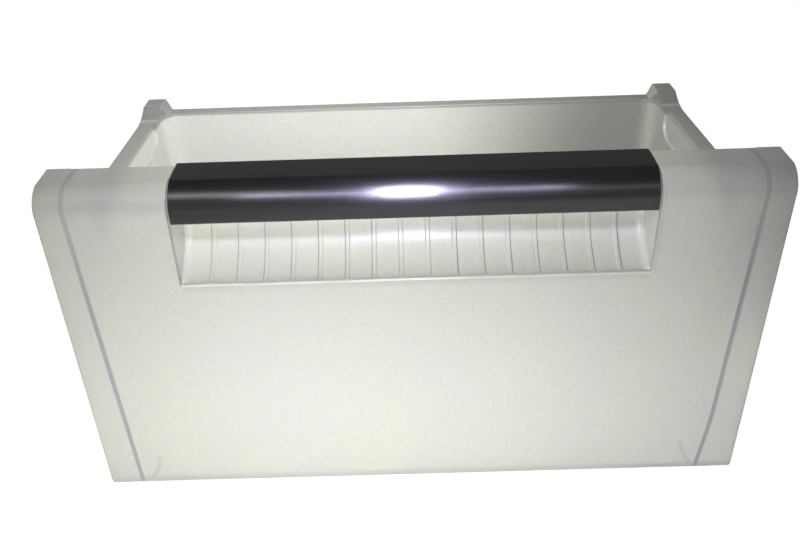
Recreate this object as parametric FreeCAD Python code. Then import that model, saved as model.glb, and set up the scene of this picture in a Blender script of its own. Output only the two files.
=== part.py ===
import FreeCAD, Part
import math
import os

os.makedirs("parts", exist_ok=True)

V = FreeCAD.Vector

# ---------------------------------------------------------------------------
# Freezer drawer. Millimetres, +X to the viewer's right, +Y towards the back,
# +Z up. While modelling, Y = 0 is the front face of the front panel and Z = 0
# the plane that the drawer stands on. At the end everything moves by SHIFT_Y,
# so that the origin is the bottom centre of the whole drawer.
# ---------------------------------------------------------------------------

# front panel
PANEL_W = 490.0        # overall width
PANEL_H = 259.3        # bottom edge to the top ledge
PANEL_T = 3.0          # wall
NOSE_Z = 241.2         # height where the flat front ends and the nose begins
NOSE_R = 18.6          # radius of the rounded top edge
LEDGE_BACK = 38.4      # rear edge of the top ledge, behind the front face
WING_X = 228.5         # the ledge between the wings is a little shallower
LEDGE_STEP = 1.5
LIP_T = 2.2            # turned-down lip at the rear edge of the ledge
LIP_H = 9.0
SIDE_T = 2.8           # returns along both sides and the bottom
SIDE_DEPTH = 14.0
BOTTOM_R = 1.6         # rounding of the bottom front edge
BOTTOM_IN_R = 1.2      # the same inside
LOWER_CORNER_R = 5.0   # rounding of the two lower corners

# grip notch and ribbed recess
NOTCH_X = 158.8        # half width of the notch
NOTCH_Z = 187.3        # where the recess floor would meet the front face
NOTCH_LIP_R = 1.5      # rounding from the front face on to the recess floor
FLOOR_ANGLE = 18.0     # slope of the recess floor at the front
FLOOR_R = 74.0         # first radius of the recess floor
FLOOR_TURN = 38.0      # slope where the second radius takes over
BACK_R = 33.0          # second radius, up to the vertical back wall
RIB_H = 0.9            # how far the ribs stand above the cells
RIB_W = 3.0
RIB_PITCH = 18.5
RIB_N = 16
SCOOP_T = 2.1
CHEEK_T = 2.2

# grip bar and trim strip
BAR_GAP = 0.2          # bar surface below the panel surface
BAR_T = 2.8
BAR_BOTTOM = 236.4
BAR_X = 158.4          # half length
TRIM_X = 157.5         # half length
TRIM_T = 1.2
TRIM_HOOK = 6.0        # how far the lower edge turns in under the bar

# tub
TUB_T = 2.9            # wall
FLOOR_Z0 = 2.8         # underside of the tub floor
FLOOR_Z1 = 5.6         # top of the tub floor
RIM_Z = 219.3          # top of the rim
HALF_IN = 224.3        # inner half width at the front, at rim height
PLAN_TAPER = 0.052     # half width lost per mm towards the back
DRAFT = 0.0262         # half width gained per mm of height
BACK_IN = 220.5        # inner face of the rear wall at rim height
BACK_DRAFT = 0.035
CORNER_R = 15.0        # inner radius of the rear upright corners
FLOOR_FILLET = 8.0     # inner radius between walls and floor
BAND_Z = 198.0         # lower edge of the stepped-out band under the side rims
BAND_OUT = 2.3         # how far the band is stepped out
BAND_FRONT = 46.0      # front end of the band
BAND_BACK = 192.0      # rear end of the band
BAND_R = 14.0          # its rounded lower corners
RIM_OUT = 15.9         # rim edge beyond the inner face of the side wall
RIM_FRONT = 20.0       # front end of the side rims, clear of the front panel
RIM_BACK = 231.0       # rear edge of the rim
RIM_T = 2.6
RIM_LIP_T = 2.0
RIM_LIP_H = 7.0        # turned-down edge, from the top of the rim
STOP_Z = 228.8         # top of the raised stops
STOP_Y0 = 215.6        # front edge of the flat top of a stop
STOP_X0 = 211.9        # inner edge of the flat top of a stop
STOP_SLOPE = 4.2       # run of the slope down to the rear rim
STOP_INSET = 1.5       # lean of a stop's outer side over its height
EAR_BACK = 34.4        # rear edge of the ears under the ledge
SKID_X = 150.0         # skid ribs under the floor
SKID_W = 4.0

FRONT_MOST = -(TRIM_T - BAR_GAP)
SHIFT_Y = -(FRONT_MOST + RIM_BACK) / 2.0


# ---------------------------------------------------------------------------
# outlines
# ---------------------------------------------------------------------------
def on_arc(c, r, a):
    """Point on a circle about c; a is measured from straight down, in degrees,
    towards the back of the drawer."""
    t = math.radians(a)
    return (c[0] + r * math.sin(t), c[1] - r * math.cos(t))


def rounded(points):
    """Closed outline from (u, v, radius) corners: a list of segments."""
    n = len(points)
    cut = []
    for i in range(n):
        p0, p, p1 = points[i - 1], points[i], points[(i + 1) % n]
        r = p[2]
        a = V(p0[0] - p[0], p0[1] - p[1], 0)
        b = V(p1[0] - p[0], p1[1] - p[1], 0)
        a.normalize()
        b.normalize()
        if r <= 0:
            cut.append(((p[0], p[1]), None, (p[0], p[1])))
            continue
        half = a.getAngle(b) / 2.0
        t = r / math.tan(half)
        m = a + b
        m.normalize()
        d = r / math.sin(half)
        c = (p[0] + m.x * d, p[1] + m.y * d)
        cut.append(((p[0] + a.x * t, p[1] + a.y * t),
                    (c[0] - m.x * r, c[1] - m.y * r),
                    (p[0] + b.x * t, p[1] + b.y * t)))
    segs = []
    for i in range(n):
        s, m, e = cut[i]
        if m is not None:
            segs.append((s, m, e))
        nxt = cut[(i + 1) % n][0]
        if abs(e[0] - nxt[0]) + abs(e[1] - nxt[1]) > 1e-7:
            segs.append((e, nxt))
    return segs


def face(segs, plane, at):
    """Face from segments in the plane named by its two axes."""
    def p3(p):
        if plane == "yz":
            return V(at, p[0], p[1])
        if plane == "xz":
            return V(p[0], at, p[1])
        return V(p[0], p[1], at)
    edges = []
    for s in segs:
        if len(s) == 2:
            edges.append(Part.LineSegment(p3(s[0]), p3(s[1])).toShape())
        else:
            edges.append(Part.Arc(p3(s[0]), p3(s[1]), p3(s[2])).toShape())
    return Part.Face(Part.Wire(edges))


def prism(segs, plane, a, b):
    way = {"yz": V(b - a, 0, 0), "xz": V(0, b - a, 0), "xy": V(0, 0, b - a)}[plane]
    return face(segs, plane, a).extrude(way)


def box(x0, x1, y0, y1, z0, z1):
    return Part.makeBox(x1 - x0, y1 - y0, z1 - z0, V(x0, y0, z0))


def both_sides(shape):
    return [shape, shape.mirror(V(0, 0, 0), V(1, 0, 0))]


def nose(r, z_top):
    """Arc of the rounded top edge at radius r, from the upright front up to
    height z_top: start, middle and end."""
    c = (NOSE_R, NOSE_Z)
    end = math.asin((z_top - NOSE_Z) / r)
    def at(t):
        return (c[0] - r * math.cos(t), c[1] + r * math.sin(t))
    return at(0.0), at(end / 2.0), at(end)


# ---------------------------------------------------------------------------
# recess section: ribs' top, cells and outside, as arcs about the same centres
# ---------------------------------------------------------------------------
_t = math.radians(FLOOR_ANGLE)
C1 = (-FLOOR_R * math.sin(_t), NOTCH_Z + FLOOR_R * math.cos(_t))
_j = on_arc(C1, FLOOR_R, FLOOR_TURN)
_t = math.radians(FLOOR_TURN)
C2 = (_j[0] - BACK_R * math.sin(_t), _j[1] + BACK_R * math.cos(_t))
SCOOP_TOP = PANEL_H - PANEL_T


def recess(extra, y0):
    """Segments of the recess section, from y0 at the front up to the top;
    extra moves it outwards."""
    r1, r2 = FLOOR_R + extra, BACK_R + extra
    a0 = math.degrees(math.asin((y0 - C1[0]) / r1))
    p0, p1, p2 = (on_arc(C1, r1, a) for a in (a0, (a0 + FLOOR_TURN) / 2.0, FLOOR_TURN))
    q1, q2 = (on_arc(C2, r2, a) for a in ((FLOOR_TURN + 90.0) / 2.0, 90.0))
    return [(p0, p1, p2), (p2, q1, q2), (q2, (q2[0], SCOOP_TOP))]


def back(segs):
    out = []
    for s in reversed(segs):
        out.append(tuple(reversed(s)))
    return out


# ---------------------------------------------------------------------------
# front panel
# ---------------------------------------------------------------------------
n0, n1, n2 = nose(NOSE_R, PANEL_H)
_r = 1.0
_b = BOTTOM_R
outside = [
    ((0, _b), n0),
    (n0, n1, n2),
    (n2, (LEDGE_BACK - _r, PANEL_H)),
    ((LEDGE_BACK - _r, PANEL_H), (LEDGE_BACK - _r * 0.2929, PANEL_H - _r * 0.2929), (LEDGE_BACK, PANEL_H - _r)),
    ((LEDGE_BACK, PANEL_H - _r), (LEDGE_BACK, 245.0)),
    ((LEDGE_BACK, 245.0), (SIDE_DEPTH, 215.0)),
    ((SIDE_DEPTH, 215.0), (SIDE_DEPTH, 0)),
    ((SIDE_DEPTH, 0), (_b, 0)),
    ((_b, 0), (_b * 0.2929, _b * 0.2929), (0, _b)),
]
front_panel = prism(outside, "yz", -PANEL_W / 2, PANEL_W / 2)
# rounded lower corners, and a slight rounding of the upright outer edges
front_panel = front_panel.common(prism(rounded([
    (-PANEL_W / 2, 0, LOWER_CORNER_R), (PANEL_W / 2, 0, LOWER_CORNER_R),
    (PANEL_W / 2, PANEL_H + 1, 0), (-PANEL_W / 2, PANEL_H + 1, 0)]), "xz", -1, 60))
front_panel = front_panel.common(prism(rounded([
    (-PANEL_W / 2, 0, 1.6), (PANEL_W / 2, 0, 1.6),
    (PANEL_W / 2, 60, 0), (-PANEL_W / 2, 60, 0)]), "xy", -1, PANEL_H + 1))

i0, i1, i2 = nose(NOSE_R - PANEL_T, PANEL_H - PANEL_T)
_c = BOTTOM_IN_R
hollow = [
    ((PANEL_T, SIDE_T + _c), i0),
    (i0, i1, i2),
    (i2, (LEDGE_BACK - LIP_T, PANEL_H - PANEL_T)),
    ((LEDGE_BACK - LIP_T, PANEL_H - PANEL_T), (LEDGE_BACK - LIP_T, PANEL_H - LIP_H)),
    ((LEDGE_BACK - LIP_T, PANEL_H - LIP_H), (60, PANEL_H - LIP_H)),
    ((60, PANEL_H - LIP_H), (60, SIDE_T)),
    ((60, SIDE_T), (PANEL_T + _c, SIDE_T)),
    ((PANEL_T + _c, SIDE_T), (PANEL_T + _c * 0.2929, SIDE_T + _c * 0.2929), (PANEL_T, SIDE_T + _c)),
]
front_panel = front_panel.cut(prism(hollow, "yz", -PANEL_W / 2 + SIDE_T, PANEL_W / 2 - SIDE_T))
# between the wings the ledge and its lip stand a little further forward
front_panel = front_panel.cut(box(-WING_X, WING_X, LEDGE_BACK - LEDGE_STEP, LEDGE_BACK + 1, PANEL_H - LIP_H - 1, PANEL_H + 1))
front_panel = front_panel.fuse(box(-WING_X, WING_X, LEDGE_BACK - LEDGE_STEP - LIP_T, LEDGE_BACK - LEDGE_STEP,
                                   PANEL_H - LIP_H, PANEL_H - PANEL_T + 0.5))

# notch for the grip, with a rounded lower lip that leads on to the recess floor
_k = NOTCH_LIP_R * math.tan(math.radians((90.0 - FLOOR_ANGLE) / 2.0))
lip_start = (0.0, NOTCH_Z - _k)
lip_end = (_k * math.cos(math.radians(FLOOR_ANGLE)), NOTCH_Z + _k * math.sin(math.radians(FLOOR_ANGLE)))
lip_c = (NOTCH_LIP_R, NOTCH_Z - _k)
_m = math.radians((180.0 + 90.0 + FLOOR_ANGLE) / 2.0)
lip_mid = (lip_c[0] + NOTCH_LIP_R * math.cos(_m), lip_c[1] + NOTCH_LIP_R * math.sin(_m))
lip_back = recess(0.0, PANEL_T)[0][0]
void = [
    ((-5, lip_start[1]), lip_start),
    (lip_start, lip_mid, lip_end),
    (lip_end, lip_back),
    (lip_back, (60, lip_back[1])),
    ((60, lip_back[1]), (60, 300)),
    ((60, 300), (-5, 300)),
    ((-5, 300), (-5, lip_start[1])),
]
front_panel = front_panel.cut(prism(void, "yz", -NOTCH_X, NOTCH_X))
# room in the rear lip for the ends of the recess moulding
for s in both_sides(box(NOTCH_X - 1, NOTCH_X + CHEEK_T + 0.2, LEDGE_BACK - LEDGE_STEP - LIP_T - 0.2, LEDGE_BACK + 1,
                        PANEL_H - LIP_H - 1, PANEL_H - PANEL_T)):
    front_panel = front_panel.cut(s)

# ---------------------------------------------------------------------------
# ribbed recess
# ---------------------------------------------------------------------------
cells = recess(RIB_H, PANEL_T)
tops = recess(0.0, PANEL_T)
outer = recess(RIB_H + SCOOP_T, PANEL_T)
shell = outer + [(outer[-1][-1], cells[-1][-1])] + back(cells) + [(cells[0][0], outer[0][0])]
grip_scoop = prism(shell, "yz", -NOTCH_X - CHEEK_T, NOTCH_X + CHEEK_T)
cheek = (outer + [(outer[-1][-1], i2), (i2, i1, i0), (i0, outer[0][0])])
for s in both_sides(prism(cheek, "yz", NOTCH_X, NOTCH_X + CHEEK_T)):
    grip_scoop = grip_scoop.fuse(s)
raised = cells + [(cells[-1][-1], tops[-1][-1])] + back(tops) + [(tops[0][0], cells[0][0])]
RIB_TOP = PANEL_H - 12.0
for k in range(RIB_N):
    x = (k - (RIB_N - 1) / 2.0) * RIB_PITCH
    rib = prism(raised, "yz", x - RIB_W / 2, x + RIB_W / 2)
    rib = rib.common(box(x - RIB_W, x + RIB_W, 0, 60, 150, RIB_TOP))
    grip_scoop = grip_scoop.fuse(rib)
land = prism(raised, "yz", -NOTCH_X, NOTCH_X).common(box(-NOTCH_X, NOTCH_X, 0, PANEL_T + 1.2, 150, 200))
grip_scoop = grip_scoop.fuse(land)
# sockets in the end cheeks for the tongues of the grip bar
TONGUE = (14.0, 26.0, 246.0, 251.0)
for s in both_sides(box(NOTCH_X - 1, NOTCH_X + CHEEK_T + 1, TONGUE[0] - 0.15, TONGUE[1] + 0.15,
                        TONGUE[2] - 0.15, TONGUE[3] + 0.15)):
    grip_scoop = grip_scoop.cut(s)

# ---------------------------------------------------------------------------
# grip bar: a C section along the notch with a turned-in lower edge
# ---------------------------------------------------------------------------
b0, b1, b2 = nose(NOSE_R - BAR_GAP, PANEL_H - BAR_GAP)
c0, c1, c2 = nose(NOSE_R - BAR_GAP - BAR_T, SCOOP_TOP)
BAR_BACK = LEDGE_BACK - BAR_GAP
bar = [
    ((BAR_GAP, BAR_BOTTOM), b0),
    (b0, b1, b2),
    (b2, (BAR_BACK, PANEL_H - BAR_GAP)),
    ((BAR_BACK, PANEL_H - BAR_GAP), (BAR_BACK, SCOOP_TOP)),
    ((BAR_BACK, SCOOP_TOP), c2),
    (c2, c1, c0),
    (c0, (c0[0], BAR_BOTTOM + 2.4)),
    ((c0[0], BAR_BOTTOM + 2.4), (7.0, BAR_BOTTOM + 2.4)),
    ((7.0, BAR_BOTTOM + 2.4), (7.0, BAR_BOTTOM)),
    ((7.0, BAR_BOTTOM), (BAR_GAP, BAR_BOTTOM)),
]
grip_bar = prism(bar, "yz", -BAR_X, BAR_X)
end_plate = [
    ((c0[0], BAR_BOTTOM + 1.0), c0),
    (c0, c1, c2),
    (c2, (34.0, SCOOP_TOP)),
    ((34.0, SCOOP_TOP), (34.0, 244.0)),
    ((34.0, 244.0), (20.0, BAR_BOTTOM + 1.0)),
    ((20.0, BAR_BOTTOM + 1.0), (c0[0], BAR_BOTTOM + 1.0)),
]
for s in both_sides(prism(end_plate, "yz", BAR_X - 2.5, BAR_X)):
    grip_bar = grip_bar.fuse(s)
for s in both_sides(box(BAR_X - 1, NOTCH_X + CHEEK_T - 0.2, *TONGUE)):
    grip_bar = grip_bar.fuse(s)

# ---------------------------------------------------------------------------
# trim strip: hooked over the rear edge, the nose and the lower edge of the bar
# ---------------------------------------------------------------------------
t0, t1, t2 = nose(NOSE_R - BAR_GAP + TRIM_T, PANEL_H - BAR_GAP + TRIM_T)
TRIM_TOP = PANEL_H - BAR_GAP + TRIM_T
TRIM_BACK_IN = LEDGE_BACK
TRIM_BACK = TRIM_BACK_IN + 1.0
_q = 1.0
trim = [
    ((FRONT_MOST, BAR_BOTTOM), t0),
    (t0, t1, t2),
    (t2, (TRIM_BACK - _q, TRIM_TOP)),
    ((TRIM_BACK - _q, TRIM_TOP), (TRIM_BACK - _q * 0.2929, TRIM_TOP - _q * 0.2929), (TRIM_BACK, TRIM_TOP - _q)),
    ((TRIM_BACK, TRIM_TOP - _q), (TRIM_BACK, 252.0)),
    ((TRIM_BACK, 252.0), (TRIM_BACK_IN, 252.0)),
    ((TRIM_BACK_IN, 252.0), (TRIM_BACK_IN, PANEL_H - BAR_GAP)),
    ((TRIM_BACK_IN, PANEL_H - BAR_GAP), b2),
    (b2, b1, b0),
    (b0, (BAR_GAP, BAR_BOTTOM)),
    ((BAR_GAP, BAR_BOTTOM), (TRIM_HOOK, BAR_BOTTOM)),
    ((TRIM_HOOK, BAR_BOTTOM), (TRIM_HOOK, BAR_BOTTOM - TRIM_T)),
    ((TRIM_HOOK, BAR_BOTTOM - TRIM_T), (BAR_GAP, BAR_BOTTOM - TRIM_T)),
    ((BAR_GAP, BAR_BOTTOM - TRIM_T), (BAR_GAP - TRIM_T * 0.7071, BAR_BOTTOM - TRIM_T * 0.7071), (FRONT_MOST, BAR_BOTTOM)),
]
handle_trim = prism(trim, "yz", -TRIM_X, TRIM_X)


# ---------------------------------------------------------------------------
# tub
# ---------------------------------------------------------------------------
def half(y, z, extra):
    return HALF_IN - PLAN_TAPER * y + DRAFT * (z - RIM_Z) + extra


def back_y(z, extra):
    return BACK_IN + BACK_DRAFT * (z - RIM_Z) + extra


def body(z0, z1, side, rear, r, fillet):
    """Tapered block of the tub, open-ended towards the front; side and rear
    move its walls outwards."""
    wires = []
    for z in (z0, z1):
        yb = back_y(z, rear)
        segs = rounded([(-half(-20, z, side), -20, 0), (half(-20, z, side), -20, 0),
                        (half(yb, z, side), yb, r), (-half(yb, z, side), yb, r)])
        wires.append(face(segs, "xy", z).OuterWire)
    solid = Part.makeLoft(wires, True, True)
    if fillet:
        edges = []
        for e in solid.Edges:
            if all(abs(v.Point.z - z0) < 1e-6 for v in e.Vertexes) and abs(e.BoundBox.ZLength) < 1e-6:
                if not all(abs(v.Point.y + 20) < 1e-6 for v in e.Vertexes):
                    edges.append(e)
        solid = solid.makeFillet(fillet, edges)
    return solid


TOP = 262.0
inner = body(FLOOR_Z1, TOP, 0.0, 0.0, CORNER_R, FLOOR_FILLET)
outer_b = body(FLOOR_Z0, TOP, TUB_T, TUB_T, CORNER_R + TUB_T, FLOOR_FILLET + TUB_T)
band_in = body(150.0, TOP, BAND_OUT, 0.0, CORNER_R, 0).common(prism(rounded([
    (BAND_FRONT, BAND_Z, BAND_R), (BAND_BACK, BAND_Z, BAND_R), (BAND_BACK, TOP, 0), (BAND_FRONT, TOP, 0)]),
    "yz", -260, 260))
band_out = body(150.0, TOP, BAND_OUT + TUB_T, 0.0, CORNER_R, 0).common(prism(rounded([
    (BAND_FRONT - TUB_T, BAND_Z - TUB_T, BAND_R + TUB_T), (BAND_BACK + TUB_T, BAND_Z - TUB_T, BAND_R + TUB_T),
    (BAND_BACK + TUB_T, TOP, 0), (BAND_FRONT - TUB_T, TOP, 0)]), "yz", -260, 260))
cavity = inner.fuse(band_in)
walls = outer_b.fuse(band_out).cut(cavity)

# side view of what stays: ears under the ledge at the front, the rim, and the
# ramp up to the raised stops at the back
_a = math.radians(50.0)
R_LOW, R_HIGH = 18.0, 4.0
_rise = STOP_Z - RIM_Z
_straight = (_rise - (R_LOW + R_HIGH) * (1 - math.cos(_a))) / math.sin(_a)
ramp_len = (R_LOW + R_HIGH) * math.sin(_a) + _straight * math.cos(_a)
r0 = (STOP_Y0 - ramp_len, RIM_Z)
r1 = (r0[0] + R_LOW * math.sin(_a), RIM_Z + R_LOW * (1 - math.cos(_a)))
r1m = (r0[0] + R_LOW * math.sin(_a / 2), RIM_Z + R_LOW * (1 - math.cos(_a / 2)))
r2 = (r1[0] + _straight * math.cos(_a), r1[1] + _straight * math.sin(_a))
r3 = (STOP_Y0, STOP_Z)
r3m = (STOP_Y0 - R_HIGH * math.sin(_a / 2), STOP_Z - R_HIGH * (1 - math.cos(_a / 2)))
ramp = [(r0, r1m, r1), (r1, r2), (r2, r3m, r3)]
_e = 6.0
ear = [
    ((PANEL_T, -1), i0),
    (i0, i1, i2),
    (i2, (EAR_BACK, PANEL_H - PANEL_T)),
    ((EAR_BACK, PANEL_H - PANEL_T), (EAR_BACK, RIM_Z + _e)),
    ((EAR_BACK, RIM_Z + _e), (EAR_BACK + _e * 0.2929, RIM_Z + _e * 0.2929), (EAR_BACK + _e, RIM_Z)),
    ((EAR_BACK + _e, RIM_Z), r0),
]
tail = [((STOP_Y0, STOP_Z), (260, STOP_Z)), ((260, STOP_Z), (260, -1)), ((260, -1), (PANEL_T, -1))]
stay_walls = prism(ear + ramp + tail, "yz", -260, 260)
stay_rim = prism([((PANEL_T, -1), (PANEL_T, RIM_Z)), ((PANEL_T, RIM_Z), r0)] + ramp + tail, "yz", -260, 260)
across = prism([
    ((-260, -1), (-260, 300)), ((-260, 300), (-STOP_X0, 300)), ((-STOP_X0, 300), (-STOP_X0, STOP_Z)),
    ((-STOP_X0, STOP_Z), (-STOP_X0 + STOP_SLOPE, RIM_Z)),
    ((-STOP_X0 + STOP_SLOPE, RIM_Z), (STOP_X0 - STOP_SLOPE, RIM_Z)),
    ((STOP_X0 - STOP_SLOPE, RIM_Z), (STOP_X0, STOP_Z)),
    ((STOP_X0, STOP_Z), (STOP_X0, 300)), ((STOP_X0, 300), (260, 300)), ((260, 300), (260, -1)),
    ((260, -1), (-260, -1))], "xz", -30, 260)
stay_walls = stay_walls.common(across)
stay_rim = stay_rim.common(across)


def rim_edge(y, inset):
    return HALF_IN + RIM_OUT - PLAN_TAPER * y - inset


def rim_block(inset, y0, r):
    y1 = RIM_BACK - inset
    return prism(rounded([(-rim_edge(y0, inset), y0, 0), (rim_edge(y0, inset), y0, 0),
                          (rim_edge(y1, inset), y1, r), (-rim_edge(y1, inset), y1, r)]), "xy", 190.0, TOP)


rim_outline = rim_block(0.0, RIM_FRONT, 2.4)
rim_plate = stay_rim.cut(stay_rim.translated(V(0, 0, -RIM_T))).common(rim_outline).cut(cavity)
rim_lip = stay_rim.cut(stay_rim.translated(V(0, 0, -RIM_LIP_H))).common(
    rim_outline.cut(rim_block(RIM_LIP_T, RIM_FRONT + RIM_LIP_T, 1.0)))

drawer_tub = walls.common(stay_walls).fuse(rim_plate).fuse(rim_lip.cut(cavity))
# the outer sides of the stops lean in a little
for y0, y1 in ((RIM_FRONT, RIM_BACK + 1),):
    lean = []
    for y in (y0 - 1, y1):
        lean.append(Part.makePolygon([V(rim_edge(y, 0.0), y, RIM_Z), V(rim_edge(y, 0.0) + 6, y, RIM_Z),
                                      V(rim_edge(y, 0.0) + 6, y, STOP_Z + 1),
                                      V(rim_edge(y, STOP_INSET * (STOP_Z + 1 - RIM_Z) / (STOP_Z - RIM_Z)), y, STOP_Z + 1),
                                      V(rim_edge(y, 0.0), y, RIM_Z)]))
    for s in both_sides(Part.makeLoft(lean, True, True)):
        drawer_tub = drawer_tub.cut(s)
for s in both_sides(box(SKID_X - SKID_W / 2, SKID_X + SKID_W / 2, 18.0, 200.0, 0.0, FLOOR_Z0 + 0.5)):
    drawer_tub = drawer_tub.fuse(s)


# ---------------------------------------------------------------------------
# write
# ---------------------------------------------------------------------------
def finish(name, shape):
    shape = shape.removeSplitter()
    solids = shape.Solids
    if len(solids) == 1:
        shape = solids[0]
    shape = shape.translated(V(0, SHIFT_Y, 0))
    b = shape.BoundBox
    print("%-12s solids %d valid %s closed %s vol %.0f  X %.2f %.2f  Y %.2f %.2f  Z %.2f %.2f" % (
        name, len(solids), shape.isValid(), all(s.isClosed() for s in solids), shape.Volume,
        b.XMin, b.XMax, b.YMin, b.YMax, b.ZMin, b.ZMax))
    shape.exportStep(os.path.join("parts", name + ".step"))
    return shape


for _name, _shape in (("drawer_tub", drawer_tub), ("front_panel", front_panel), ("grip_scoop", grip_scoop),
                      ("grip_bar", grip_bar), ("handle_trim", handle_trim)):
    finish(_name, _shape)
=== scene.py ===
import math

import bmesh
import bpy
from mathutils import Matrix, Vector


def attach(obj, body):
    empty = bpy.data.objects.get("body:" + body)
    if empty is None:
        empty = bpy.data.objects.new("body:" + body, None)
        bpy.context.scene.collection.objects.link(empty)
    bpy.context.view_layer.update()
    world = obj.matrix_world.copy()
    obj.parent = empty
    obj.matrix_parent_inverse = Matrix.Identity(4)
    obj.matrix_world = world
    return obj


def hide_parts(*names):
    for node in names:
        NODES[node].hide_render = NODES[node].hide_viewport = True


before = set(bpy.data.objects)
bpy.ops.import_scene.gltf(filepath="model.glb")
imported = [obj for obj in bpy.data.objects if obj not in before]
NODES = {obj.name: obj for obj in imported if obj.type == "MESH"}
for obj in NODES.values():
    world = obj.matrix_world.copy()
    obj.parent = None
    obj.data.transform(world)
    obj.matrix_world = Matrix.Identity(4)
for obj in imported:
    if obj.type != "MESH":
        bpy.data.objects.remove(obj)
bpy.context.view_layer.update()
scene = bpy.context.scene
MM = 0.001
SHIFT = -115.0          # the drawer's own Y = 0, its front face, in the row frame, mm


def at(x, y, z):
    """Drawer millimetres, Y from the front face, to the row frame in metres."""
    return Vector((x * MM, (y + SHIFT) * MM, z * MM))


# ---------------------------------------------------------------------------
# camera: solved from the drawer's corners in the 800 x 533 frame
# ---------------------------------------------------------------------------
F_PX = 870.0
YAW, PITCH, ROLL = (math.radians(v) for v in (-0.654, 33.207, 2.07))
_fwd = Vector((math.sin(YAW) * math.cos(PITCH), math.cos(YAW) * math.cos(PITCH), -math.sin(PITCH)))
_r0 = Vector((math.cos(YAW), -math.sin(YAW), 0.0))
_d0 = _fwd.cross(_r0)
_right = math.cos(ROLL) * _r0 + math.sin(ROLL) * _d0
_down = -math.sin(ROLL) * _r0 + math.cos(ROLL) * _d0
cam_data = bpy.data.cameras.new("photo_camera")
cam_data.sensor_fit = "HORIZONTAL"
cam_data.sensor_width = 36.0
cam_data.lens = F_PX / 800.0 * 36.0
cam_data.clip_start, cam_data.clip_end = 0.01, 50.0
cam = bpy.data.objects.new("photo_camera", cam_data)
scene.collection.objects.link(cam)
_m = Matrix((_right, -_down, -_fwd)).transposed().to_4x4()
_m.translation = at(-4.66, -487.07, 516.57)
cam.matrix_world = _m
scene.camera = cam

scene.view_settings.view_transform = "Standard"
scene.view_settings.look = "None"
scene.view_settings.exposure = 0.0
scene.view_settings.gamma = 1.0

# ---------------------------------------------------------------------------
# sizes repeated from the frame's pieces, mm
# ---------------------------------------------------------------------------
PANEL_H, PANEL_T = 259.3, 3.0
NOSE_Z, NOSE_R = 241.2, 18.6
LEDGE_BACK = 38.4
NOTCH_X, NOTCH_Z = 158.8, 187.3
FLOOR_ANGLE, FLOOR_R, FLOOR_TURN, BACK_R = 18.0, 74.0, 38.0, 33.0
RIB_H, RIB_W, RIB_PITCH, RIB_N = 0.9, 3.0, 18.5, 16
SCOOP_T, CHEEK_T = 2.1, 2.2
SCOOP_TOP = PANEL_H - PANEL_T
TRIM_X, TRIM_T = 157.5, 1.2
BAR_GAP, BAR_BOTTOM = 0.2, 236.4
RIM_Z = 219.3


# ---------------------------------------------------------------------------
# shader helpers
# ---------------------------------------------------------------------------
class Ex:
    """A shader value that can be written as a formula."""

    def __init__(self, nt, socket):
        self.nt, self.s = nt, socket

    def _op(self, op, *others, clamp=False):
        n = self.nt.nodes.new("ShaderNodeMath")
        n.operation = op
        n.use_clamp = clamp
        for i, v in enumerate((self,) + others):
            if isinstance(v, Ex):
                self.nt.links.new(v.s, n.inputs[i])
            else:
                n.inputs[i].default_value = float(v)
        return Ex(self.nt, n.outputs[0])

    def __add__(self, o): return self._op("ADD", o)
    def __sub__(self, o): return self._op("SUBTRACT", o)
    def __mul__(self, o): return self._op("MULTIPLY", o)
    def __truediv__(self, o): return self._op("DIVIDE", o)
    def __abs__(self): return self._op("ABSOLUTE")
    def clamp(self): return self._op("MULTIPLY", 1.0, clamp=True)
    def max(self, o): return self._op("MAXIMUM", o)
    def min(self, o): return self._op("MINIMUM", o)

    def step(self, a, b, lo=0.0, hi=1.0):
        """lo up to a, hi from b on, smooth between them."""
        n = self.nt.nodes.new("ShaderNodeMapRange")
        n.interpolation_type = "SMOOTHSTEP"
        self.nt.links.new(self.s, n.inputs["Value"])
        for k, v in (("From Min", a), ("From Max", b), ("To Min", lo), ("To Max", hi)):
            n.inputs[k].default_value = v
        return Ex(self.nt, n.outputs["Result"])


def new_material(name):
    mat = bpy.data.materials.new(name)
    mat.use_nodes = True
    nt = mat.node_tree
    nt.nodes.clear()
    out = nt.nodes.new("ShaderNodeOutputMaterial")
    bsdf = nt.nodes.new("ShaderNodeBsdfPrincipled")
    nt.links.new(bsdf.outputs["BSDF"], out.inputs["Surface"])
    return mat, nt, bsdf


def drawer_axes(nt):
    """The object's own X, Y, Z in drawer millimetres, and the raw coordinate."""
    tc = nt.nodes.new("ShaderNodeTexCoord")
    sep = nt.nodes.new("ShaderNodeSeparateXYZ")
    nt.links.new(tc.outputs["Object"], sep.inputs[0])
    x, y, z = (Ex(nt, sep.outputs[i]) for i in range(3))
    return x * 1000.0, y * 1000.0 - SHIFT, z * 1000.0, tc.outputs["Object"]


def noise(nt, vec, scale, detail=2.0, rough=0.5, stretch=None, dist=0.0):
    if stretch is not None:
        m = nt.nodes.new("ShaderNodeMapping")
        m.inputs["Scale"].default_value = stretch
        nt.links.new(vec, m.inputs["Vector"])
        vec = m.outputs["Vector"]
    n = nt.nodes.new("ShaderNodeTexNoise")
    nt.links.new(vec, n.inputs["Vector"])
    n.inputs["Scale"].default_value = scale
    n.inputs["Detail"].default_value = detail
    n.inputs["Roughness"].default_value = rough
    n.inputs["Distortion"].default_value = dist
    return Ex(nt, n.outputs["Fac"])


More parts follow.
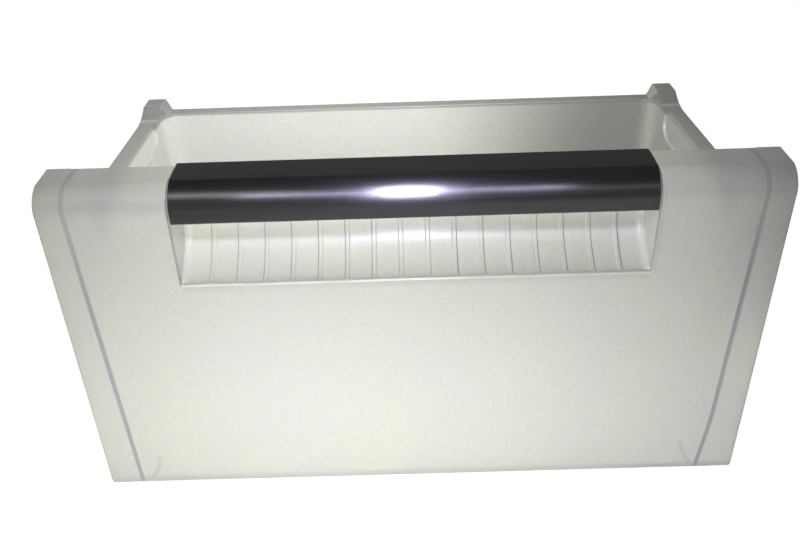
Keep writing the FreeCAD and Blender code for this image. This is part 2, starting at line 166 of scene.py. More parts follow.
def mix(nt, fac, a, b):
    """Colour mix: a where fac is 0, b where it is 1."""
    n = nt.nodes.new("ShaderNodeMix")
    n.data_type = "RGBA"
    if isinstance(fac, Ex):
        nt.links.new(fac.s, n.inputs["Factor"])
    else:
        n.inputs["Factor"].default_value = fac
    for k, v in (("A", a), ("B", b)):
        sock = [i for i in n.inputs if i.name == k and i.type == "RGBA"][0]
        if isinstance(v, bpy.types.NodeSocket):
            nt.links.new(v, sock)
        else:
            sock.default_value = (*v, 1.0)
    return [o for o in n.outputs if o.type == "RGBA"][0]


def bump(nt, bsdf, parts):
    """parts: (height Ex, strength, distance in metres), chained."""
    last = None
    for h, strength, dist in parts:
        n = nt.nodes.new("ShaderNodeBump")
        n.inputs["Strength"].default_value = strength
        n.inputs["Distance"].default_value = dist
        nt.links.new(h.s, n.inputs["Height"])
        if last is not None:
            nt.links.new(last, n.inputs["Normal"])
        last = n.outputs["Normal"]
    nt.links.new(last, bsdf.inputs["Normal"])


# ---------------------------------------------------------------------------
# materials
# ---------------------------------------------------------------------------
def frosted(name, colour, cool, rough, clear, gloss, marks=None, body=None):
    mat, nt, b = new_material(name)
    x, y, z, vec = drawer_axes(nt)
    cloud = noise(nt, vec, 14.0, 3.0, 0.55)              # slow drift of tone, some 70 mm
    mottle = noise(nt, vec, 120.0, 2.0, 0.6)             # blotches of 8 mm
    grain = noise(nt, vec, 900.0, 2.0, 0.6)              # moulded satin grain, about 1 mm
    tone = (cloud.step(0.32, 0.68) * 0.6 + mottle.step(0.3, 0.7) * 0.4).clamp()
    col = mix(nt, tone, colour, cool)
    fleck = noise(nt, vec, 320.0, 2.0, 0.6)              # flecks of 3 mm, some warm, some cool
    col = mix(nt, fleck.step(0.52, 0.64) * 0.45, col, (0.90, 0.89, 0.66))
    col = mix(nt, fleck.step(0.36, 0.48, 1.0, 0.0) * 0.38, col, (0.73, 0.76, 0.79))
    if marks:
        for mask, tint in marks(nt, x, y, z):
            col = mix(nt, mask, col, tint)
    if body:                                             # painted shade and light: tone factors by place and facing, multiplied into the colour
        col = mix(nt, body(nt, x, y, z), (0.0, 0.0, 0.0), col)
    nt.links.new(col, b.inputs["Base Color"])
    r = grain.step(0.3, 0.7, rough - 0.035, rough + 0.035) + (mottle - 0.5) * 0.04
    nt.links.new(r.s, b.inputs["Roughness"])
    b.inputs["IOR"].default_value = 1.45
    b.inputs["Transmission Weight"].default_value = clear
    b.inputs["Coat Weight"].default_value = gloss[0]
    b.inputs["Coat Roughness"].default_value = gloss[1]
    b.inputs["Coat IOR"].default_value = 1.5
    peel = noise(nt, vec, 260.0, 1.0, 0.5)
    bump(nt, b, [(peel, 0.05, 0.0006), (grain, 0.10, 0.00012)])
    return mat


def panel_marks(nt, x, y, z):
    ax = abs(x)
    out = []
    # the ends of the tub's walls, welded to the back of the panel
    d = abs(ax - (z * 0.0262 - y * 0.052 + 220.0) + x.step(0.0, 1.0) * z.step(-30.0, 62.0, 5.0, 0.0))
    strip = d.step(1.25, 1.95, 1.0, 0.0) * z.step(150.0, 262.0, 0.62, 0.34)
    out.append((strip, (0.27, 0.285, 0.38)))
    # soft shade of the ears and the rim corners behind the upper wings
    c = (z - 222.0) * -0.12 + 204.0
    w = (z - 218.0) * 0.36 + 3.0
    v = (abs(ax - c) / w.max(2.0)).step(0.15, 1.0, 1.0, 0.0) * z.step(218.0, 240.0) * 0.28
    out.append((v, (0.48, 0.49, 0.47)))
    # soft shade where the tub's rounded lower corners touch the panel
    e = abs(ax - ((z - 5.0) * (z - 5.0) * 0.011 - (z - 5.0) * 0.72 + 212.0))
    s = e.step(0.6, 3.2, 1.0, 0.0) * z.step(2.0, 8.0) * z.step(22.0, 34.0, 1.0, 0.0) * 0.30
    out.append((s, (0.40, 0.41, 0.40)))
    # seams beside the recess
    side = y.step(3.0, 4.0, 1.0, 0.0) * z.step(186.0, 190.0) * z.step(252.0, 256.0, 1.0, 0.0)
    seam = abs(x + 159.35).step(0.12, 0.4, 1.0, 0.0) * side * 0.75
    out.append((seam, (0.10, 0.10, 0.11)))
    seam = (abs(x - 159.4).step(0.12, 0.4, 1.0, 0.0) + abs(x - 161.2).step(0.12, 0.4, 1.0, 0.0)) * side * 0.35
    out.append((seam, (0.22, 0.22, 0.24)))
    # painted shade along the right-hand rim, painted light along the left-hand rim, and a darker band along the bottom
    # edge
    out.append((x.step(243.2, 244.6) * z.step(236.0, 244.0, 1.0, 0.0) * 0.45, (0.30, 0.30, 0.30)))
    out.append((x.step(-243.6, -241.0, 1.0, 0.0) * 0.55, (0.90, 0.88, 0.74)))
    out.append((z.step(3.0, 8.5, 1.0, 0.0) * 0.22, (0.45, 0.47, 0.47)))
    # a faint darker line where the flat front ends and the nose begins
    line = abs(z - 241.2).step(0.18, 0.42, 1.0, 0.0) * 0.16
    out.append((line, (0.55, 0.56, 0.54)))
    return out


def between(nt, fac, a, b):
    """a where fac is 0, b where it is 1, for plain values and formulas."""
    return (fac * -1.0 + 1.0) * a + fac * b


def panel_painted_shade(nt, x, y, z):
    # painted shade: darker towards the top, on the nose, the ledge, the right-hand side and corner, and the recess lip
    front = z.step(-20.0, 250.0, 0.752, 0.532)
    nose = z.step(238.0, 257.0) * 0.02
    ledge = y.step(12.0, 16.0) * z.step(253.0, 258.0)
    corner = x.step(175.0, 250.0) * z.step(90.0, 245.0) * (ledge * 0.17 - 0.28) + 1.0
    ledge = ledge * 0.065
    lip = y.step(1.0, 2.0, 1.0, 0.0) * z.step(180.0, 185.0) * abs(x).step(158.0, 159.0, 1.0, 0.0) * z.step(188.0, 189.0, 1.0, 0.0)
    return (front - nose - ledge) * x.step(-240.0, 240.0, 1.0, 0.93) * corner * (lip * -0.12 + 1.0)


def facing(nt):
    geo = nt.nodes.new("ShaderNodeNewGeometry")
    sep = nt.nodes.new("ShaderNodeSeparateXYZ")
    nt.links.new(geo.outputs["Normal"], sep.inputs[0])
    return tuple(Ex(nt, sep.outputs[i]) for i in range(3))


def tub_painted_light_and_shade(nt, x, y, z):
    nx, ny, nz = facing(nt)
    out = nx * x.step(-1.0, 1.0, -1.0, 1.0)              # 1 where a face looks away from the middle
    back = ny.step(-1.0, -0.25, 1.0, 0.0) * y.step(185.0, 205.0)
    side = out.step(-1.0, -0.25, 1.0, 0.0)
    rim = z.step(216.0, 218.5)
    # painted shade: rear wall, inner side walls and rim darker towards the right, other faces a flat 0.92
    f = between(nt, back, x * 0.0 + 0.92, x.step(-10.0, 175.0, 1.0, 0.42))
    f = between(nt, side, f, x.step(-150.0, 150.0, 0.97, 0.53))
    f = between(nt, rim, f, x.step(-100.0, 220.0, 0.43, 0.32))
    # painted shade on the band's narrow shelf, the rim's inner edge and the front slope of the stops
    shelf = nz.step(0.3, 0.7) * z.step(193.0, 196.0) * z.step(214.0, 216.0, 1.0, 0.0)
    inner = abs(abs(x) - (y * -0.052 + 224.6)).step(1.2, 2.6, 1.0, 0.0) * z.step(214.0, 217.0) * z.step(219.6, 220.2, 1.0, 0.0) \
        * y.step(30.0, 40.0) * y.step(196.0, 204.0, 1.0, 0.0)
    slope = z.step(219.8, 221.0) * ny.step(-0.5, -0.2, 1.0, 0.0) * y.step(150.0, 160.0)
    # painted highlights: light lines along the edges where the thin walls of the stops meet
    top = abs(y - 215.6).step(0.3, 0.9, 1.0, 0.0) * z.step(228.0, 228.5)
    ramp = abs(abs(x) + z * -0.442 - 111.3).step(0.3, 0.9, 1.0, 0.0) * z.step(219.8, 220.6) * y.step(200.0, 205.0)
    foot = abs(z - 220.4).step(0.2, 0.7, 1.0, 0.0) * y.step(190.0, 200.0) * abs(x).step(205.0, 207.0)
    line = (top + ramp + foot).clamp() * 0.38
    return f * (shelf * -0.35 + 1.0) * (inner * -0.25 + 1.0) * (slope * -0.20 + 1.0) * (line + 1.0)


def scoop_painted_light_and_shade(nt, x, y, z):
    # painted shade on the lip, on cell walls facing away from the middle and on the cells' lower walls, darker towards
    # the right; painted light at the top under the trim
    nx, ny, nz = facing(nt)
    lip = y.step(0.8, 4.2, 0.80, 1.0)
    away = (nx * x.step(-40.0, 40.0, -1.0, 1.0)).step(0.12, 0.55) * -0.5 + 1.0
    low = ny.step(0.05, 0.35) * y.step(2.0, 3.0) * y.step(30.0, 34.0, 1.0, 0.0) * -0.35 + 1.0
    return x.step(-160.0, 160.0, 0.98, 0.84) * z.step(222.0, 238.0, 1.0, 1.12) * lip * away * low


WARM, COOL = (0.88, 0.865, 0.77), (0.83, 0.845, 0.825)
FROST_PANEL = frosted("frosted_panel", WARM, COOL, 0.42, 0.42, (0.25, 0.20), panel_marks, panel_painted_shade)
FROST_TUB = frosted("frosted_tub", (0.87, 0.86, 0.785), (0.83, 0.84, 0.82), 0.40, 0.46, (0.35, 0.16), None, tub_painted_light_and_shade)
FROST_SCOOP = frosted("frosted_recess", WARM, COOL, 0.40, 0.40, (0.3, 0.20), None, scoop_painted_light_and_shade)

DARK, _nt, _b = new_material("dark_metallised")
_x, _y, _z, _vec = drawer_axes(_nt)
_brush = noise(_nt, _vec, 1.0, 3.0, 0.6, stretch=(9.0, 2200.0, 2200.0))     # fine lines along the strip
_wave = noise(_nt, _vec, 30.0, 2.0, 0.5, stretch=(0.5, 1.0, 1.0))
_col = mix(_nt, _brush.step(0.3, 0.7), (0.106, 0.101, 0.099), (0.119, 0.114, 0.113))
_nt.links.new(_col, _b.inputs["Base Color"])
_b.inputs["Metallic"].default_value = 1.0
_nt.links.new((_brush.step(0.25, 0.75, 0.20, 0.22) + (_wave - 0.5) * 0.03).s, _b.inputs["Roughness"])
_b.inputs["Anisotropic"].default_value = 0.85
_t = _nt.nodes.new("ShaderNodeTangent")
_t.direction_type = "RADIAL"
_t.axis = "X"
_nt.links.new(_t.outputs["Tangent"], _b.inputs["Tangent"])
bump(_nt, _b, [(_wave, 0.06, 0.0010), (_brush, 0.012, 0.00005)])

for _name, _o in NODES.items():
    _o.data.materials.clear()
    _o.data.materials.append({"handle_trim": DARK, "drawer_tub": FROST_TUB, "grip_scoop": FROST_SCOOP}.get(_name, FROST_PANEL))


# ---------------------------------------------------------------------------
# mesh helpers
# ---------------------------------------------------------------------------
def place(name, bm, material, node):
    """Turn a bmesh into a named piece that stands for a node."""
    bmesh.ops.recalc_face_normals(bm, faces=bm.faces)
    me = bpy.data.meshes.new(name)
    bm.to_mesh(me)
    bm.free()
    for p in me.polygons:
        p.use_smooth = True
    me.materials.append(material)
    o = bpy.data.objects.new(name, me)
    scene.collection.objects.link(o)
    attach(o, "root")
    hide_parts(node)
    return o


def clean_copy(node, move):
    """The node's own surface without its triangle splits, as a bmesh; move
    shifts single corners by a hair where two mouldings are welded."""
    src = bmesh.new()
    src.from_mesh(NODES[node].data)
    bmesh.ops.remove_doubles(src, verts=src.verts, dist=2e-6)
    for v in src.verts:
        v.co = move(v.co)
    bmesh.ops.dissolve_limit(src, angle_limit=math.radians(0.6), verts=src.verts, edges=src.edges,
                             use_dissolve_boundaries=False)
    src.verts.index_update()
    bm = bmesh.new()
    vs = [bm.verts.new(v.co) for v in src.verts]
    for f in src.faces:
        bm.faces.new([vs[v.index] for v in f.verts])
    src.free()
    bm.normal_update()
    return bm


def round_edges(o, cap, width_of, segments=3, sharp=28.0, crease=None):
    """Round the sharp edges: width_of(edge, middle in drawer mm) in mm. Edges
    that crease names stay as a crisp line."""
    me = o.data
    bm = bmesh.new()
    bm.from_mesh(me)
    bm.normal_update()
    bm.edges.index_update()
    lay = bm.edges.layers.float.new("bevel_weight_edge")
    want = {}
    for e in bm.edges:
        m = (e.verts[0].co + e.verts[1].co) / 2.0
        if crease and crease((m.x / MM, m.y / MM - SHIFT, m.z / MM)):
            e.smooth = False
            continue
        if len(e.link_faces) != 2 or e.calc_face_angle(0.0) < math.radians(sharp):
            continue
        want[e.index] = width_of(e, (m.x / MM, m.y / MM - SHIFT, m.z / MM))
    for e in bm.edges:
        if e.index not in want:
            continue
        w = want[e.index]
        for v in (e.verts if w < 1.15 else ()):     # never wider than the neighbouring edges allow
            d = (e.other_vert(v).co - v.co).normalized()
            for f in v.link_edges:
                if f is e or not any(g in e.link_faces for g in f.link_faces):
                    continue
                c = (f.other_vert(v).co - v.co).normalized().dot(d)
                if c < -0.9:
                    continue
                w = min(w, 0.42 * f.calc_length() / MM * math.sqrt(max(0.04, 1.0 - c * c)))
        if w > 0.06:
            e[lay] = min(1.0, w / cap)
        else:
            e.smooth = False
    bm.to_mesh(me)
    bm.free()
    b = o.modifiers.new("round", "BEVEL")
    b.limit_method = "WEIGHT"
    b.width = cap * MM
    b.segments = segments
    b.use_clamp_overlap = False
    b.miter_outer = "MITER_SHARP"
    w = o.modifiers.new("even", "WEIGHTED_NORMAL")
    w.mode = "FACE_AREA"
    w.weight = 50
    w.keep_sharp = True


def settle(o, crease=None):
    """Fix the rounded mesh and give each corner the area-weighted normal of
    the faces round it that turn less than 40 degrees from its own, so flat
    faces stay flat. Corners that crease names stay crisp."""
    bpy.context.view_layer.update()
    me = bpy.data.meshes.new_from_object(o.evaluated_get(bpy.context.evaluated_depsgraph_get()))
    o.modifiers.clear()
    me.name = o.name
    o.data = me
    round_vert = [[] for _ in me.vertices]
    for p in me.polygons:
        for v in p.vertices:
            round_vert[v].append(p.index)
    normal = [p.normal.copy() for p in me.polygons]
    area = [p.area for p in me.polygons]
    out = []
    for p in me.polygons:
        for v in p.vertices:
            co = me.vertices[v].co
            lim = 0.766
            if crease and crease((co.x / MM, co.y / MM - SHIFT, co.z / MM)):
                lim = 0.996
            s = Vector()
            for g in round_vert[v]:
                if normal[g].dot(normal[p.index]) > lim:
                    s += normal[g] * area[g]
            out.append(s.normalized() if s.length > 1e-12 else normal[p.index])
    me.normals_split_custom_set(out)


# ---------------------------------------------------------------------------
# front panel
# ---------------------------------------------------------------------------
LIP_R = 1.5
_k = LIP_R * math.tan(math.radians((90.0 - FLOOR_ANGLE) / 2.0))
LIP_START = (0.0, NOTCH_Z - _k)
LIP_FALL = 0.37         # slope of the joint between panel and recess moulding


def panel_move(co):
    x, y, z = co.x / MM, co.y / MM - SHIFT, co.z / MM
    if abs(x) < NOTCH_X + 0.05 and y < PANEL_T + 0.05 and 183.0 < z < 190.0:
        z = LIP_START[1] - LIP_FALL * y - 0.03
    return at(x, y, z)


def panel_round(e, m):
    x, y, z = m
    if abs(abs(x) - NOTCH_X) < 0.1:
        return 0.9 if y < 1.0 or z > 240.0 else 0.3
    if z < 187.0 and abs(x) < NOTCH_X and z > 184.0:
        return 0.0
    if abs(abs(x) - 228.5) < 0.8 and y > 36.0:
        return 0.0
    if abs(x) > 236.0 and z < 8.0:
        return 0.0
    if abs(x) > 244.0:
        return 0.7
    if z > 259.0:
        return 0.7
    return 0.45


panel = place("front_panel_skin", clean_copy("front_panel", panel_move), FROST_PANEL, "front_panel")
NOSE_END = NOSE_R - math.sqrt(NOSE_R ** 2 - (PANEL_H - NOSE_Z) ** 2)
round_edges(panel, 0.9, panel_round,
            crease=lambda m: abs(m[1] - NOSE_END) < 0.1 and m[2] > PANEL_H - 0.05)
settle(panel, crease=lambda m: abs(m[1] - NOSE_END) < 0.15 and m[2] > PANEL_H - 0.1)


# ---------------------------------------------------------------------------
# tub
# ---------------------------------------------------------------------------
def tub_move(co):
    x, y, z = co.x / MM, co.y / MM - SHIFT, co.z / MM
    if y < PANEL_T + 0.02:
        y = PANEL_T + 0.05
    if z > SCOOP_TOP - 0.02:
        z = SCOOP_TOP - 0.05
    dy, dz = y - NOSE_R, z - NOSE_Z
    r = math.hypot(dy, dz)
    if dy < 0 and dz > 0 and r > NOSE_R - PANEL_T - 0.06:
        k = (NOSE_R - PANEL_T - 0.06) / r
        y, z = NOSE_R + dy * k, NOSE_Z + dz * k
    return at(x, y, z)


def tub_round(e, m):
    x, y, z = m
    faces = e.link_faces
    up = [f.normal.z > 0.75 for f in faces]
    if (y < 8.0 and z > 205.0) or z > 250.0:
        return 0.0
    if y < PANEL_T + 0.3:
        return 0.2
    if abs(x) > 226.0 and y > 190.0 and 216.0 < z < 224.0:
        return 0.0
    if abs(x) > 221.0 and 190.0 < z < 201.0:
        return 0.0
    if abs(x) > 222.0 and 34.0 < y < 44.0 and z > 215.0:
        return 0.0
    if z > RIM_Z + 0.7 or (y > 150.0 and z > RIM_Z - 0.6 and not any(up)):
        return 0.4          # the raised stops
    if y < 62.0 and z < RIM_Z - 0.6 and abs(x) > 214.0:
        return 0.25         # the band's front end and the pockets
    if z > RIM_Z - 0.6 and any(up):
        wall = [f for f, u in zip(faces, up) if not u]
        if not wall:
            return 0.8
        n = wall[0].normal
        inward = (n.x * x < 0) or (n.y < -0.5 and y > 200)
        if y > 36.0:
            return (1.2 if y > 200.0 else 2.0) if inward and z < RIM_Z + 0.5 else 1.1
        return 0.9
    if z > RIM_Z - 3.6:
        return 0.5
    return 0.6


tub = place("drawer_tub_skin", clean_copy("drawer_tub", tub_move), FROST_TUB, "drawer_tub")
round_edges(tub, 2.0, tub_round)
settle(tub)


# ---------------------------------------------------------------------------
# ribbed recess: one grid over the sunk cells, closed by its rear side
# ---------------------------------------------------------------------------
_t = math.radians(FLOOR_ANGLE)
C1 = (-FLOOR_R * math.sin(_t), NOTCH_Z + FLOOR_R * math.cos(_t))
_t = math.radians(FLOOR_TURN)
C2 = (C1[0] + (FLOOR_R - BACK_R) * math.sin(_t), C1[1] - (FLOOR_R - BACK_R) * math.cos(_t))
LIP_C = (LIP_R, LIP_START[1])
WALL_S = 0.34           # half width of a cell's side walls
CELL_R = 2.3            # rounding of a cell's corners


def section():
    """Rows of the recess: (path length, inner point, direction into the wall,
    rear point), from the front face up to the top edge."""
    rows = []
    n_lip = 6
    a_end = math.radians(90.0 - FLOOR_ANGLE)
    y_end = 1.743
    for i in range(n_lip):
        a = a_end * i / n_lip
        p = (LIP_C[0] - LIP_R * math.cos(a), LIP_C[1] + LIP_R * math.sin(a))
        yo = y_end * i / n_lip
        rows.append((LIP_R * (a - a_end), p, (math.cos(a), -math.sin(a)), (yo, LIP_START[1] - LIP_FALL * yo)))
    a0 = math.degrees(math.asin((LIP_R - LIP_R * math.cos(a_end) - C1[0]) / FLOOR_R))
    len1 = FLOOR_R * math.radians(FLOOR_TURN - a0)
    len2 = BACK_R * math.radians(90.0 - FLOOR_TURN)
    len3 = SCOOP_TOP - C2[1]
    stops = [0.0, 0.3]
    stops += [CELL_S0 + v for v in (-0.4, -0.2, 0.0, 0.2, 0.4, 0.8, 1.3, 1.9, 2.6)]
    s = stops[-1] + 2.0
    while s < len1 + len2 + len3 - 1.5:
        stops.append(s)
        s += 2.4
    stops.append(len1 + len2 + len3)
    for s in stops:
        if s <= len1:
            a = math.radians(a0) + s / FLOOR_R
            n = (math.sin(a), -math.cos(a))
            p = (C1[0] + FLOOR_R * n[0], C1[1] + FLOOR_R * n[1])
        elif s <= len1 + len2:
            a = math.radians(FLOOR_TURN) + (s - len1) / BACK_R
            n = (math.sin(a), -math.cos(a))
            p = (C2[0] + BACK_R * n[0], C2[1] + BACK_R * n[1])
        else:
            n = (1.0, 0.0)
            p = (C2[0] + BACK_R, C2[1] + s - len1 - len2)
        t = RIB_H + SCOOP_T
        for _ in range(3):      # as far as the joint with the panel allows
            q = (p[0] + n[0] * t, p[1] + n[1] * t)
            low = LIP_START[1] - LIP_FALL * q[0]
            if q[0] < PANEL_T and q[1] < low:
                t -= (low - q[1]) / max(0.2, -n[1])
        rows.append((s, p, n, (p[0] + n[0] * t, p[1] + n[1] * t)))
    return rows


CELL_S0 = 0.75
CELL_S1 = 78.0
RIBS = [(k - (RIB_N - 1) / 2.0) * RIB_PITCH for k in range(RIB_N)]
CELLS = []
_edges = [-NOTCH_X - 8.0] + [v for c in RIBS for v in (c - RIB_W / 2, c + RIB_W / 2)] + [NOTCH_X + 8.0]
for _i in range(0, len(_edges), 2):
    CELLS.append((_edges[_i], _edges[_i + 1]))
END_R, END_C = 8.0, 153.1       # the cells at the two ends curve up into the cheeks
END_X = NOTCH_X - 0.02


def columns():
    xs = []
    for c in RIBS:
        xs.append(c)
        for side in (-1.0, 1.0):
            e = c + side * RIB_W / 2
            for v in (-0.6, -0.34, -0.17, 0.0, 0.17, 0.34, 0.6, 1.1, 1.7, 2.4):
                xs.append(e + side * v)
    for a, b in CELLS[1:-1]:
        xs += [(a + b) / 2 - 2.5, (a + b) / 2, (a + b) / 2 + 2.5]
    for side in (-1.0, 1.0):
        xs += [side * (END_C + v) for v in (-6.0, -3.0, -1.2, 0.0, 0.8, 1.6, 2.4, 3.2, 4.0, 4.7, 5.3)] + [side * END_X]
    xs = sorted(xs)
    keep = [xs[0]]
    for v in xs[1:]:
        if v - keep[-1] > 0.05:
            keep.append(v)
    return keep


def sunk(x, s):
    """Depth of the cell floor below the ribs at a point of the recess."""
    best = 1e9
    for a, b in CELLS:
        if x < a - 3.0 or x > b + 3.0:
            continue
        qx = abs(x - (a + b) / 2) - ((b - a) / 2 - CELL_R)
        qs = abs(s - (CELL_S0 + CELL_S1) / 2) - ((CELL_S1 - CELL_S0) / 2 - CELL_R)
        d = math.hypot(max(qx, 0.0), max(qs, 0.0)) + min(max(qx, qs), 0.0) - CELL_R
        best = min(best, d)
    u = max(0.0, min(1.0, (WALL_S - best) / (2 * WALL_S)))
    return RIB_H * u * u * (3 - 2 * u)


def swept(x, s):
    """Rise of the end fillet at a point of the recess."""
    over = abs(x) - END_C
    if over <= 0:
        return 0.0
    f = END_R * (1.0 - math.sqrt(max(0.0, 1.0 - (over / END_R) ** 2)))
    u = max(0.0, min(1.0, s / 4.0))
    return f * u * u * (3 - 2 * u)


def recess_mesh():
    bm = bmesh.new()
    rows, xs = section(), columns()
    front, rear = [], []
    for s, p, n, q in rows:
        a, b = [], []
        for x in xs:
            h = sunk(x, s) - swept(x, s)
            a.append(bm.verts.new(at(x, p[0] + n[0] * h, p[1] + n[1] * h)))
            b.append(bm.verts.new(at(x, q[0], q[1])))
        front.append(a)
        rear.append(b)
    for j in range(len(rows) - 1):
        for i in range(len(xs) - 1):
            bm.faces.new((front[j][i], front[j][i + 1], front[j + 1][i + 1], front[j + 1][i]))
            bm.faces.new((rear[j][i], rear[j + 1][i], rear[j + 1][i + 1], rear[j][i + 1]))
        for i in (0, -1):
            bm.faces.new((front[j][i], front[j + 1][i], rear[j + 1][i], rear[j][i]))
    for i in range(len(xs) - 1):
        bm.faces.new((front[-1][i], front[-1][i + 1], rear[-1][i + 1], rear[-1][i]))
    bmesh.ops.remove_doubles(bm, verts=[v for v in front[0] + rear[0]], dist=1e-6)
    # end cheeks
    cheek = [q for s, p, n, q in rows if q[0] >= PANEL_T + 0.05]
    cheek = [(PANEL_T + 0.05, cheek[0][1] + LIP_FALL * 0.0)] + cheek
    cheek = [(y, min(z, SCOOP_TOP - 0.05)) for y, z in cheek]
    r = NOSE_R - PANEL_T - 0.05
    top = math.asin((SCOOP_TOP - 0.05 - NOSE_Z) / r)
    cheek += [(NOSE_R - r * math.cos(top * (1 - i / 14.0)), NOSE_Z + r * math.sin(top * (1 - i / 14.0))) for i in range(15)]
    for side in (-1.0, 1.0):
        rings = []
        for x, inset in ((NOTCH_X, 0.0), (NOTCH_X + CHEEK_T, 0.0)):
            rings.append([bm.verts.new(at(side * x, y, z)) for y, z in cheek])
        n = len(cheek)
        for i in range(n):
            bm.faces.new((rings[0][i], rings[0][(i + 1) % n], rings[1][(i + 1) % n], rings[1][i]))
        bm.faces.new(rings[0])
        bm.faces.new(rings[1])
    return bm


scoop = place("grip_recess", recess_mesh(), FROST_SCOOP, "grip_scoop")
_w = scoop.modifiers.new("even", "WEIGHTED_NORMAL")
_w.mode = "FACE_AREA"
_w.keep_sharp = True
_bm = bmesh.new()
_bm.from_mesh(scoop.data)
for _e in _bm.edges:
    if len(_e.link_faces) == 2 and _e.calc_face_angle(0.0) > math.radians(55):
        _e.smooth = False
_bm.to_mesh(scoop.data)
_bm.free()


# ---------------------------------------------------------------------------
# grip bar and trim strip
# ---------------------------------------------------------------------------
def bar_move(co):
    x = max(-NOTCH_X + 0.05, min(NOTCH_X - 0.05, co.x / MM))
    return Vector((x * MM, co.y, co.z))


bar = place("grip_bar_moulding", clean_copy("grip_bar", bar_move), FROST_PANEL, "grip_bar")
round_edges(bar, 0.5, lambda e, m: 0.35, segments=2)


def trim_mesh():
    def arc(r, a0, a1, n):
        return [(NOSE_R - r * math.cos(a0 + (a1 - a0) * i / n), NOSE_Z + r * math.sin(a0 + (a1 - a0) * i / n))
                for i in range(n + 1)]
    r_out, r_in = NOSE_R - BAR_GAP + TRIM_T, NOSE_R - BAR_GAP + 0.02
    top, top_in = PANEL_H - BAR_GAP + TRIM_T, PANEL_H - BAR_GAP + 0.02
    e_out, e_in = math.asin((top - NOSE_Z) / r_out), math.asin((top_in - NOSE_Z) / r_in)
    back = LEDGE_BACK + 1.0
    pts = [(NOSE_R - r_out, BAR_BOTTOM)]
    pts += arc(r_out, 0.0, e_out, 26)
    for i in range(6):
        a = math.pi / 2 * i / 5
        pts.append((back - 1.0 + math.sin(a), top - 1.0 + math.cos(a)))
    pts += [(back, 252.0), (LEDGE_BACK, 252.0), (LEDGE_BACK, top_in)]
    pts += arc(r_in, e_in, 0.0, 26)
    pts += [(BAR_GAP - 0.02, BAR_BOTTOM - 0.02), (6.0, BAR_BOTTOM - 0.02), (6.0, BAR_BOTTOM - TRIM_T)]
    for i in range(6):
        a = math.pi / 2 * i / 6
        pts.append((BAR_GAP - TRIM_T * math.sin(a), BAR_BOTTOM - TRIM_T * math.cos(a)))
    bm = bmesh.new()
    ends = [[bm.verts.new(at(x, y, z)) for y, z in pts] for x in (-TRIM_X, TRIM_X)]
    n = len(pts)
    for i in range(n):
        bm.faces.new((ends[0][i], ends[0][(i + 1) % n], ends[1][(i + 1) % n], ends[1][i]))
    bm.faces.new(ends[0])
    bm.faces.new(ends[1])
    return bm


trim = place("handle_trim_strip", trim_mesh(), DARK, "handle_trim")
round_edges(trim, 0.4, lambda e, m: 0.3 if abs(m[0]) > 150 else 0.2, segments=2,
            crease=lambda m: 13.0 < m[1] < 15.6 and m[2] > PANEL_H + 0.9)

# ---------------------------------------------------------------------------
# floor, light
# ---------------------------------------------------------------------------
me = bpy.data.meshes.new("floor")
s = 6.0
me.from_pydata([(-s, -s, 0), (s, -s, 0), (s, s, 0), (-s, s, 0)], [], [(0, 1, 2, 3)])
floor = bpy.data.objects.new("floor", me)
scene.collection.objects.link(floor)
FLOOR = bpy.data.materials.new("floor_mat")
FLOOR.use_nodes = True
nt = FLOOR.node_tree
nt.nodes.clear()
out = nt.nodes.new("ShaderNodeOutputMaterial")
b = nt.nodes.new("ShaderNodeBsdfPrincipled")
b.inputs["Base Color"].default_value = (0.80, 0.80, 0.80, 1.0)
b.inputs["Roughness"].default_value = 0.9
em = nt.nodes.new("ShaderNodeEmission")
em.inputs["Color"].default_value = (1.0, 1.0, 1.0, 1.0)
em.inputs["Strength"].default_value = 1.12
lp = nt.nodes.new("ShaderNodeLightPath")
mx = nt.nodes.new("ShaderNodeMixShader")
seen = Ex(nt, lp.outputs["Is Camera Ray"]) * 0.88
nt.links.new(seen.s, mx.inputs[0])
nt.links.new(b.outputs[0], mx.inputs[1])
nt.links.new(em.outputs[0], mx.inputs[2])
nt.links.new(mx.outputs[0], out.inputs["Surface"])
me.materials.append(FLOOR)

world = bpy.data.worlds.new("studio")
world.use_nodes = True
nt = world.node_tree
bg = nt.nodes["Background"]
tc = nt.nodes.new("ShaderNodeTexCoord")
sep = nt.nodes.new("ShaderNodeSeparateXYZ")
nt.links.new(tc.outputs["Generated"], sep.inputs[0])
dx, dy, dz = (Ex(nt, sep.outputs[i]) for i in range(3))
level = dz.step(0.15, 0.70, 1.0, 0.0) * dx.step(-0.6, 0.6, 0.38, 0.20) + dz.step(0.15, 0.70, 0.0, 0.13)
lp = nt.nodes.new("ShaderNodeLightPath")
seen = Ex(nt, lp.outputs["Is Camera Ray"])
level = level + (level * -1.0 + 1.1) * seen
nt.links.new(level.s, bg.inputs["Strength"])
bg.inputs["Color"].default_value = (0.97, 0.985, 1.0, 1.0)
scene.world = world


def area(name, place_at, target, size, power, colour=(1, 1, 1), glossy=True, sheen_only=False):
    d = bpy.data.lights.new(name, "AREA")
    d.shape = "RECTANGLE"
    d.size, d.size_y = size
    d.energy = power
    d.color = colour
    o = bpy.data.objects.new(name, d)
    scene.collection.objects.link(o)
    o.location = place_at
    o.rotation_mode = "QUATERNION"
    o.rotation_quaternion = (Vector(target) - Vector(place_at)).to_track_quat("-Z", "Y")
    o.visible_glossy = glossy
    o.visible_camera = False
    if sheen_only:
        o.visible_diffuse = o.visible_transmission = False
    return o


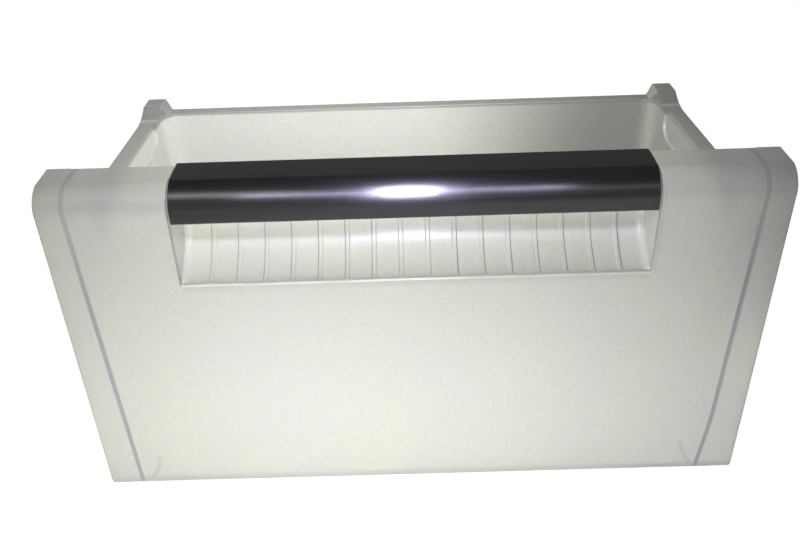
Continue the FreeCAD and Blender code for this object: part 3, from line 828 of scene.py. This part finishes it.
SOFT = (1.0, 1.0, 0.97)
VIOLET = (0.82, 0.78, 1.0)
area("flash", (-0.010, -0.469, 0.599), (0, -0.105, 0.23), (0.055, 0.055), 1.65, (0.97, 0.96, 1.0), glossy=False)
area("flash_core", (-0.001, -0.469, 0.599), (0, -0.105, 0.23), (0.032, 0.05), 0.75, VIOLET, sheen_only=True)
area("flash_tall", (-0.003, -0.469, 0.599), (0, -0.105, 0.23), (0.05, 0.26), 3.2, (0.66, 0.62, 1.0), sheen_only=True)
area("flash_glow", (-0.006, -0.469, 0.599), (0, -0.105, 0.23), (0.40, 0.03), 0.8, (0.70, 0.68, 1.0), sheen_only=True)
area("band_left", (-0.72, -1.00, 1.62), (-0.1, -0.105, 0.25), (1.0, 0.26), 3.0, (1.0, 0.98, 1.0), sheen_only=True)
area("band_right", (0.55, -1.25, 1.12), (0.1, -0.105, 0.25), (0.9, 0.22), 0.55, (0.97, 0.97, 1.0), sheen_only=True)
area("table_sheen", (0.15, -0.65, 0.04), (0, -0.115, 0.24), (1.3, 0.3), 0.48, (1.0, 1.0, 1.0), sheen_only=True)
area("back_left", (-0.5, 1.0, 0.35), (0, 0, 0.12), (0.5, 0.4), 2.7, SOFT, glossy=False)
area("side_right", (1.3, 0.30, 0.28), (0.2, 0.02, 0.12), (0.5, 0.4), 3.4, SOFT, glossy=False)
area("table_left", (-0.25, -0.33, 0.03), (-0.15, -0.115, 0.08), (0.3, 0.05), 0.22, SOFT, glossy=False)
area("table_mid", (0.0, -0.33, 0.03), (0.0, -0.115, 0.08), (0.3, 0.05), 0.22, SOFT, glossy=False)
area("table_right", (0.25, -0.33, 0.03), (0.15, -0.115, 0.08), (0.3, 0.05), 0.13, SOFT, glossy=False)
area("above_left", (-0.12, -0.03, 0.45), (-0.08, 0.11, 0.14), (0.12, 0.08), 0.73, SOFT, glossy=False)
area("above_right", (0.05, -0.03, 0.45), (0.05, 0.11, 0.14), (0.12, 0.08), 0.82, SOFT, glossy=False)
area("recess_left", (-0.11, -0.42, 0.17), (-0.06, -0.09, 0.23), (0.12, 0.06), 0.95, SOFT, glossy=False)
area("recess_right", (0.10, -0.42, 0.17), (0.08, -0.09, 0.23), (0.12, 0.06), 0.36, SOFT, glossy=False)
